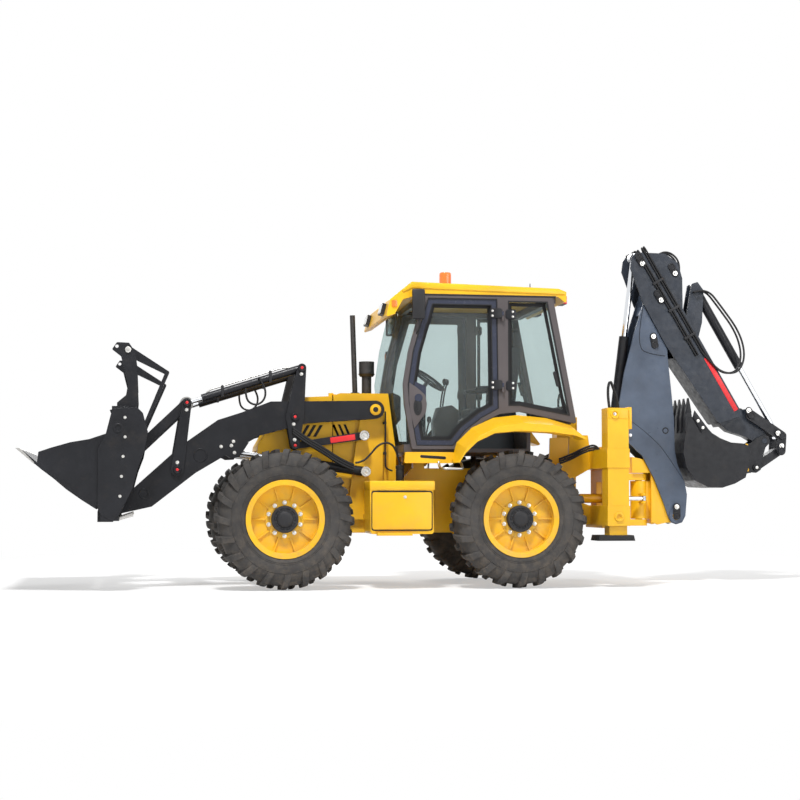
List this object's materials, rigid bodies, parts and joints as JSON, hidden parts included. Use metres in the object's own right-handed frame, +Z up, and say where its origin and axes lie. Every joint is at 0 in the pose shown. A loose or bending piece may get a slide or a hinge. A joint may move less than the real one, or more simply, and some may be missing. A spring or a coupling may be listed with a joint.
{
  "type": "backhoe loader",
  "caption": "Tractor with four equal wheels, a glazed cab, a front loader with an opening bucket and flip-over forks, and a folded digging arm with an extending dipper at the rear.",
  "frame": {"origin": "centre of the bounding box's base, on the ground under the wheels", "axes": "+X towards the loader bucket, +Y to the machine's left, +Z up"},
  "size_m": [8.346, 2.35, 3.647],
  "materials": {
    "tyre_rubber": "dusty",
    "yellow_paint": "gloss",
    "black_frame": "satin",
    "dark_grey_frame": "satin",
    "tinted_glass": "clear",
    "seat_cloth": "woven",
    "black_plastic": "matte",
    "heat_worn_steel": "matte",
    "charcoal_paint": "satin, worn",
    "chromed_rod": "polished",
    "bare_steel": "brushed",
    "slate_blue_paint": "satin"
  },
  "bodies": {
    "machine": {"main_frame": "black_frame", "rear_frame": "yellow_paint", "power_train": "black_frame", "cowl": "yellow_paint", "exhaust": "heat_worn_steel", "cab_frame": "dark_grey_frame", "cab_roof": "yellow_paint", "cab_glass": "tinted_glass", "cab_interior": "seat_cloth", "fenders": "yellow_paint", "lamps": "black_plastic"},
    "wheel_front_left": {"tyre_front_left": "tyre_rubber", "rim_front_left": "yellow_paint"},
    "wheel_front_right": {"tyre_front_right": "tyre_rubber", "rim_front_right": "yellow_paint"},
    "wheel_rear_left": {"tyre_rear_left": "tyre_rubber", "rim_rear_left": "yellow_paint"},
    "wheel_rear_right": {"tyre_rear_right": "tyre_rubber", "rim_rear_right": "yellow_paint"},
    "knuckle_left": {"knuckle_left": "black_frame"},
    "knuckle_right": {"knuckle_right": "black_frame"},
    "loader_arms": {"loader_arms": "charcoal_paint"},
    "lift_barrels": {"lift_barrels": "charcoal_paint"},
    "lift_rods": {"lift_rods": "chromed_rod"},
    "levelling_links": {"levelling_links": "charcoal_paint"},
    "rear_levers": {"rear_levers": "charcoal_paint"},
    "front_lever_pins": {"front_lever_pins": "bare_steel"},
    "front_levers": {"front_levers": "charcoal_paint"},
    "lever_top_pins": {"lever_top_pins": "bare_steel"},
    "bucket_links": {"bucket_links": "charcoal_paint"},
    "bucket_pins": {"bucket_pins": "bare_steel"},
    "tilt_barrels": {"tilt_barrels": "charcoal_paint"},
    "tilt_rods": {"tilt_rods": "chromed_rod"},
    "front_bucket": {"front_bucket": "charcoal_paint"},
    "clam": {"clam": "charcoal_paint"},
    "fork_tines": {"fork_tines": "charcoal_paint"},
    "bonnet_lid": {"bonnet_lid": "yellow_paint"},
    "carriage": {"carriage": "yellow_paint"},
    "kingpost": {"kingpost": "yellow_paint"},
    "swing_rod_left": {"swing_rod_left": "chromed_rod"},
    "swing_rod_right": {"swing_rod_right": "chromed_rod"},
    "boom": {"boom": "slate_blue_paint"},
    "boom_barrel": {"boom_barrel": "slate_blue_paint"},
    "boom_rod": {"boom_rod": "chromed_rod"},
    "dipper": {"dipper": "slate_blue_paint"},
    "dipper_barrel": {"dipper_barrel": "slate_blue_paint"},
    "dipper_rod": {"dipper_rod": "chromed_rod"},
    "inner_dipper": {"inner_dipper": "slate_blue_paint"},
    "bucket_barrel": {"bucket_barrel": "slate_blue_paint"},
    "bucket_rod": {"bucket_rod": "chromed_rod"},
    "hoe_levers": {"hoe_levers": "slate_blue_paint"},
    "hoe_link": {"hoe_link": "slate_blue_paint"},
    "hoe_bucket": {"hoe_bucket": "charcoal_paint"},
    "stabiliser_left": {"stabiliser_left": "yellow_paint"},
    "stabiliser_right": {"stabiliser_right": "yellow_paint"},
    "door_left": {"door_left": "dark_grey_frame", "door_glass_left": "tinted_glass"},
    "door_right": {"door_right": "dark_grey_frame", "door_glass_right": "tinted_glass"}
  },
  "joints": [
    {"name": "steering", "type": "hinge", "parent": "machine", "child": "knuckle_left", "pos_m": [1.535, 0.85, 0.712], "axis": [0, 0, 1], "range_deg": [-17, 17]},
    {"name": "steering_right", "type": "hinge", "parent": "machine", "child": "knuckle_right", "pos_m": [1.535, -0.85, 0.712], "axis": [0, 0, 1], "range_deg": [-17.3, 17.3]},
    {"name": "wheel_front_left_spin", "type": "hinge", "parent": "knuckle_left", "child": "wheel_front_left", "pos_m": [1.535, 0.975, 0.712], "axis": [0, 1, 0], "continuous": true},
    {"name": "wheel_rear_left_spin", "type": "hinge", "parent": "machine", "child": "wheel_rear_left", "pos_m": [-0.885, 0.975, 0.712], "axis": [0, 1, 0], "continuous": true},
    {"name": "wheel_front_right_spin", "type": "hinge", "parent": "knuckle_right", "child": "wheel_front_right", "pos_m": [1.535, -0.975, 0.712], "axis": [0, 1, 0], "continuous": true},
    {"name": "wheel_rear_right_spin", "type": "hinge", "parent": "machine", "child": "wheel_rear_right", "pos_m": [-0.885, -0.975, 0.712], "axis": [0, 1, 0], "continuous": true},
    {"name": "loader_lift", "type": "hinge", "parent": "machine", "child": "loader_arms", "pos_m": [0.543, 0, 1.85], "axis": [0, -1, 0], "range_deg": [-13.6, 54.4]},
    {"name": "lift_barrels_turn", "type": "hinge", "parent": "machine", "child": "lift_barrels", "pos_m": [0.647, 0, 1.201], "axis": [0, -1, 0], "range_deg": [-12.13, 47.63]},
    {"name": "lift_rods_slide", "type": "slide", "parent": "lift_barrels", "child": "lift_rods", "axis": [0.9899, 0, 0.1414], "range_m": [-0.14205, 0.56218]},
    {"name": "levelling_links_turn", "type": "hinge", "parent": "machine", "child": "levelling_links", "pos_m": [0.663, 0, 1.577], "axis": [0, -1, 0], "range_deg": [-16.76, 66.12]},
    {"name": "rear_levers_turn", "type": "hinge", "parent": "loader_arms", "child": "rear_levers", "pos_m": [1.391, 0, 1.767], "axis": [0, -1, 0], "range_deg": [-60.14, 15.26]},
    {"name": "tilt_barrels_turn", "type": "hinge", "parent": "rear_levers", "child": "tilt_barrels", "pos_m": [1.32, 0, 2.279], "axis": [0, -1, 0], "range_deg": [-16.08, 63.4]},
    {"name": "front_levers_level", "type": "hinge", "parent": "loader_arms", "child": "front_lever_pins", "pos_m": [2.598, 0, 1.215], "axis": [0, -1, 0], "range_deg": [-43.28, 11.04]},
    {"name": "bucket_links_level", "type": "hinge", "parent": "front_levers", "child": "lever_top_pins", "pos_m": [2.505, 0, 1.905], "axis": [0, -1, 0], "range_deg": [-11.59, 45.45]},
    {"name": "bucket_level", "type": "hinge", "parent": "loader_arms", "child": "bucket_pins", "pos_m": [3.227, 0, 0.849], "axis": [0, -1, 0], "range_deg": [-57.96, 14.72]},
    {"name": "bucket_dump", "type": "hinge", "parent": "bucket_pins", "child": "front_bucket", "pos_m": [3.227, 0, 0.849], "axis": [0, 1, 0], "range_deg": [-5, 85]},
    {"name": "front_levers_turn", "type": "hinge", "parent": "front_lever_pins", "child": "front_levers", "pos_m": [2.598, 0, 1.215], "axis": [0, 1, 0], "range_deg": [-3.98, 62.95]},
    {"name": "bucket_links_turn", "type": "hinge", "parent": "lever_top_pins", "child": "bucket_links", "pos_m": [2.505, 0, 1.905], "axis": [0, 1, 0], "range_deg": [-60.56, 3.85]},
    {"name": "tilt_rods_slide", "type": "slide", "parent": "tilt_barrels", "child": "tilt_rods", "axis": [0.9536, 0, -0.301], "range_m": [-0.04441, 0.723]},
    {"name": "clam_open", "type": "hinge", "parent": "front_bucket", "child": "clam", "pos_m": [3.194, 0, 1.614], "axis": [0, 1, 0], "range_deg": [-60, 0]},
    {"name": "fork_flip", "type": "hinge", "parent": "front_bucket", "child": "fork_tines", "pos_m": [3.103, 0, 2.397], "axis": [0, 1, 0], "range_deg": [0, 290]},
    {"name": "bonnet_open", "type": "hinge", "parent": "machine", "child": "bonnet_lid", "pos_m": [0.975, 0, 2.02], "axis": [0, -1, 0], "range_deg": [0, 45]},
    {"name": "door_left_open", "type": "hinge", "parent": "machine", "child": "door_left", "pos_m": [-0.755, 0.882, 2.3], "axis": [0, 0, 1], "range_deg": [0, 75]},
    {"name": "door_right_open", "type": "hinge", "parent": "machine", "child": "door_right", "pos_m": [-0.755, -0.882, 2.3], "axis": [0, 0, -1], "range_deg": [0, 75]},
    {"name": "carriage_shift", "type": "slide", "parent": "machine", "child": "carriage", "axis": [0, 1, 0], "range_m": [-0.5, 0.5]},
    {"name": "swing", "type": "hinge", "parent": "carriage", "child": "kingpost", "pos_m": [-2.487, 0, 0.9], "axis": [0, 0, 1], "range_deg": [-90, 90]},
    {"name": "swing_rod_left_slide", "type": "slide", "parent": "carriage", "child": "swing_rod_left", "axis": [1, 0, 0], "range_m": [-0.15908, 0.15908]},
    {"name": "swing_rod_right_slide", "type": "slide", "parent": "carriage", "child": "swing_rod_right", "axis": [1, 0, 0], "range_m": [-0.15908, 0.15908]},
    {"name": "boom_lower", "type": "hinge", "parent": "kingpost", "child": "boom", "pos_m": [-2.868, 0, 0.728], "axis": [0, -1, 0], "range_deg": [0, 100]},
    {"name": "boom_barrel_turn", "type": "hinge", "parent": "kingpost", "child": "boom_barrel", "pos_m": [-2.715, 0, 1.1], "axis": [0, -1, 0], "range_deg": [-0.3, 106.2]},
    {"name": "boom_rod_slide", "type": "slide", "parent": "boom_barrel", "child": "boom_rod", "axis": [0.0494, 0, 0.9988], "range_m": [-0.002, 0.59018]},
    {"name": "dipper_open", "type": "hinge", "parent": "boom", "child": "dipper", "pos_m": [-2.665, 0, 3.187], "axis": [0, 1, 0], "range_deg": [0, 120]},
    {"name": "dipper_barrel_turn", "type": "hinge", "parent": "boom", "child": "dipper_barrel", "pos_m": [-2.2, 0, 1.68], "axis": [0, 1, 0], "range_deg": [-4, 0.3]},
    {"name": "dipper_rod_slide", "type": "slide", "parent": "dipper_barrel", "child": "dipper_rod", "axis": [-0.1295, 0, 0.9916], "range_m": [-0.79347, 0.002]},
    {"name": "dipper_extend", "type": "slide", "parent": "dipper", "child": "inner_dipper", "axis": [-0.5075, 0, -0.8616], "range_m": [0, 0.8]},
    {"name": "hoe_open", "type": "hinge", "parent": "inner_dipper", "child": "hoe_bucket", "pos_m": [-3.924, 0, 1.562], "axis": [0, 1, 0], "range_deg": [0, 165]},
    {"name": "hoe_levers_turn", "type": "hinge", "parent": "inner_dipper", "child": "hoe_levers", "pos_m": [-3.759, 0, 1.847], "axis": [0, 1, 0], "range_deg": [-0.3, 84.28]},
    {"name": "hoe_link_turn", "type": "hinge", "parent": "hoe_levers", "child": "hoe_link", "pos_m": [-4.109, 0, 1.451], "axis": [0, 1, 0], "range_deg": [-42.38, 0.3]},
    {"name": "bucket_barrel_turn", "type": "hinge", "parent": "inner_dipper", "child": "bucket_barrel", "pos_m": [-3.155, 0, 3.29], "axis": [0, 1, 0], "range_deg": [-0.3, 8.38]},
    {"name": "bucket_rod_slide", "type": "slide", "parent": "bucket_barrel", "child": "bucket_rod", "axis": [-0.5001, 0, -0.866], "range_m": [-0.52324, 0.002]},
    {"name": "stabiliser_left_lower", "type": "slide", "parent": "machine", "child": "stabiliser_left", "axis": [0, 0, -1], "range_m": [0, 0.55]},
    {"name": "stabiliser_right_lower", "type": "slide", "parent": "machine", "child": "stabiliser_right", "axis": [0, 0, -1], "range_m": [0, 0.55]}
  ],
  "couplings": [
    {"joint": "steering_right", "follows": "steering", "ratio": 1},
    {"joint": "lift_barrels_turn", "follows": "loader_lift", "ratio": 0.87},
    {"joint": "lift_rods_slide", "follows": "loader_lift", "m_per_rad": 0.59},
    {"joint": "levelling_links_turn", "follows": "loader_lift", "ratio": 1.21},
    {"joint": "rear_levers_turn", "follows": "loader_lift", "ratio": -1.1},
    {"joint": "tilt_barrels_turn", "follows": "loader_lift", "ratio": 1.16},
    {"joint": "front_levers_level", "follows": "loader_lift", "ratio": -0.79},
    {"joint": "bucket_links_level", "follows": "loader_lift", "ratio": 0.83},
    {"joint": "bucket_level", "follows": "loader_lift", "ratio": -1.06},
    {"joint": "front_levers_turn", "follows": "bucket_dump", "ratio": 0.737},
    {"joint": "bucket_links_turn", "follows": "bucket_dump", "ratio": -0.709},
    {"joint": "tilt_rods_slide", "follows": "bucket_dump", "m_per_rad": 0.486},
    {"joint": "swing_rod_left_slide", "follows": "swing", "m_per_rad": -0.1},
    {"joint": "swing_rod_right_slide", "follows": "swing", "m_per_rad": 0.1},
    {"joint": "boom_barrel_turn", "follows": "boom_lower", "ratio": 1.059},
    {"joint": "boom_rod_slide", "follows": "boom_lower", "m_per_rad": 0.337},
    {"joint": "dipper_barrel_turn", "follows": "dipper_open", "ratio": -0.0308},
    {"joint": "dipper_rod_slide", "follows": "dipper_open", "m_per_rad": -0.3779},
    {"joint": "hoe_levers_turn", "follows": "hoe_open", "ratio": 0.509},
    {"joint": "hoe_link_turn", "follows": "hoe_open", "ratio": -0.255},
    {"joint": "bucket_barrel_turn", "follows": "hoe_open", "ratio": 0.049},
    {"joint": "bucket_rod_slide", "follows": "hoe_open", "m_per_rad": -0.181}
  ]
}
